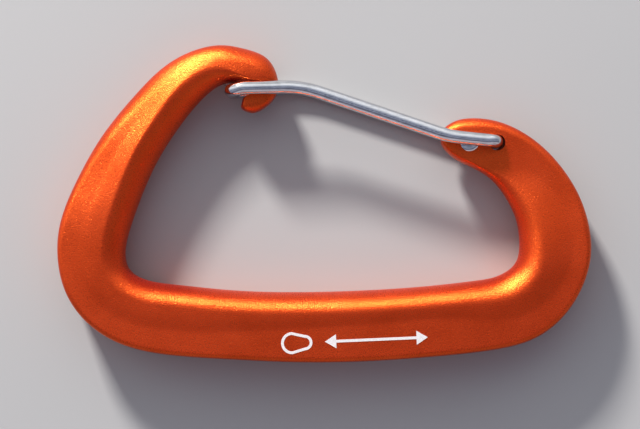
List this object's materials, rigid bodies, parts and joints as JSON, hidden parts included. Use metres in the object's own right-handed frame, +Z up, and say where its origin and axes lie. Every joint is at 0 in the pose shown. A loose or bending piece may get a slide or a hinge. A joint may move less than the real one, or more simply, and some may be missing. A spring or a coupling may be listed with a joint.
{
  "type": "wire-gate carabiner",
  "caption": "Small D-shaped forged carabiner with a sprung bent-wire gate that swings inward about its hinge tongue.",
  "frame": {"origin": "under the middle of the outline, on the plane that the carabiner's lower broad side rests on", "axes": "+X along the spine from the nose end to the hinge end, +Y from the spine to the gate, +Z up through the thickness"},
  "size_m": [0.0802, 0.0478, 0.009],
  "materials": {
    "anodised_frame": "bead-blasted and anodised orange, satin",
    "gate_wire": "polished drawn wire"
  },
  "bodies": {
    "frame": {"frame": "anodised_frame"},
    "gate": {"gate_wire": "gate_wire", "gate_wire_spring_end": "gate_wire"}
  },
  "joints": [
    {"name": "gate_swing", "type": "hinge", "parent": "frame", "child": "gate", "pos_m": [0.02605, 0.00925, 0.0045], "axis": [0, 0, 1], "range_deg": [0, 42], "stiffness_Nm_per_rad": 0.12, "springref_deg": -68.75, "deforming": ["gate_wire_spring_end"]}
  ]
}
